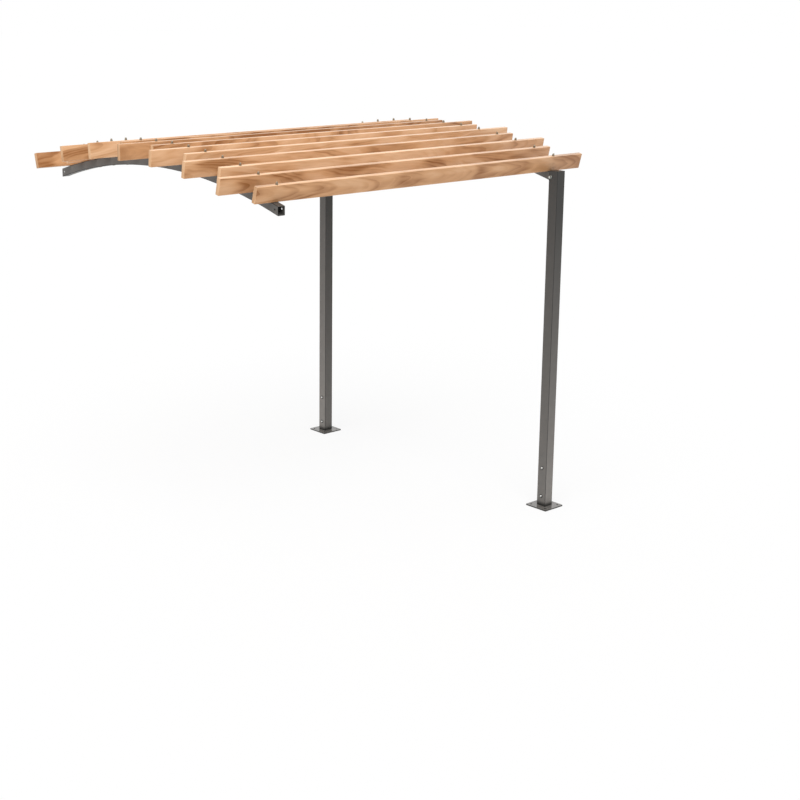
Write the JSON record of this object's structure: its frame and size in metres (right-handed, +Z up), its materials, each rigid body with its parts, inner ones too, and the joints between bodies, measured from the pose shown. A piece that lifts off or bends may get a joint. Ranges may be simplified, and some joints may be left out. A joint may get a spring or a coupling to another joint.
{
  "type": "wooden pergola",
  "caption": "Pergola bay with square steel posts at one end, arched tube beams and a staggered roof of timber slats on edge; the free beam bolts to the posts of a neighbouring bay.",
  "frame": {"origin": "middle of the underside of the front post's base plate, at ground level", "axes": "+X along the slats towards the end with the posts, +Y from the front post to the rear post, +Z up"},
  "size_m": [2.722, 2.39, 2.432],
  "materials": {
    "timber": "planed softwood, honey brown wood oil",
    "grey_paint": "satin powder coat, anthracite grey",
    "fixings": "zinc plated bolts, nuts and washers"
  },
  "bodies": {
    "root": {"front_post": "grey_paint", "rear_post": "grey_paint", "front_post_cap": "grey_paint", "rear_post_cap": "grey_paint", "front_base_plate": "grey_paint", "rear_base_plate": "grey_paint", "front_foot_sleeve": "grey_paint", "rear_foot_sleeve": "grey_paint", "right_beam": "grey_paint", "left_beam": "grey_paint", "slat_01": "timber", "slat_02": "timber", "slat_03": "timber", "slat_04": "timber", "slat_05": "timber", "slat_06": "timber", "slat_07": "timber", "slat_08": "timber", "slat_09": "timber", "slat_10": "timber", "slat_11": "timber", "slat_12": "timber", "slat_13": "timber", "slat_14": "timber"}
  },
  "joints": []
}
